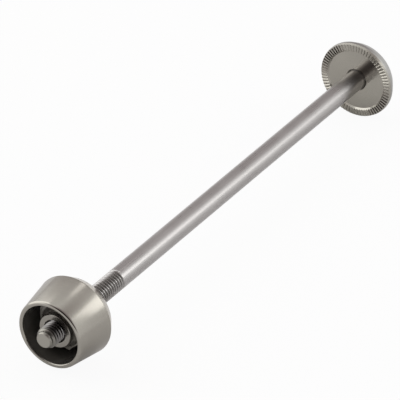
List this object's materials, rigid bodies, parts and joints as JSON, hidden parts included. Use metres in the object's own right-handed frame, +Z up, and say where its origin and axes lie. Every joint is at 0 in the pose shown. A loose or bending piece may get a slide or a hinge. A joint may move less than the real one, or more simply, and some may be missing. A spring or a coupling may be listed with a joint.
{
  "type": "locking wheel skewer",
  "caption": "Slim rod with a round serrated head and, on its threaded end, a coded nut sunk in a cone-shaped cup; clamps a bicycle wheel so that only a matching key undoes it.",
  "frame": {"origin": "middle of the overall length, on the rod's axis", "axes": "+Y along the rod from the cup's mouth to the head, +Z up, with the rod level"},
  "size_m": [0.0197, 0.136, 0.0196],
  "materials": {
    "drawn_stainless": "drawn satin",
    "head_stainless": "turned satin",
    "satin_stainless": "turned satin",
    "nut_stainless": "turned"
  },
  "bodies": {
    "skewer": {"skewer_rod": "drawn_stainless", "serrated_head": "head_stainless"},
    "cup": {"cone_cup": "satin_stainless"},
    "nut": {"coded_nut": "nut_stainless"}
  },
  "joints": [
    {"name": "cup_slide", "type": "slide", "parent": "skewer", "child": "cup", "axis": [0, 1, 0], "range_m": [-0.0096, 0.0152]},
    {"name": "nut_turn", "type": "hinge", "parent": "cup", "child": "nut", "pos_m": [0, -0.0566, 0], "axis": [0, 1, 0], "range_deg": [-4320, 6840]}
  ],
  "couplings": [
    {"joint": "nut_turn", "follows": "cup_slide", "rad_per_m": 7854}
  ]
}
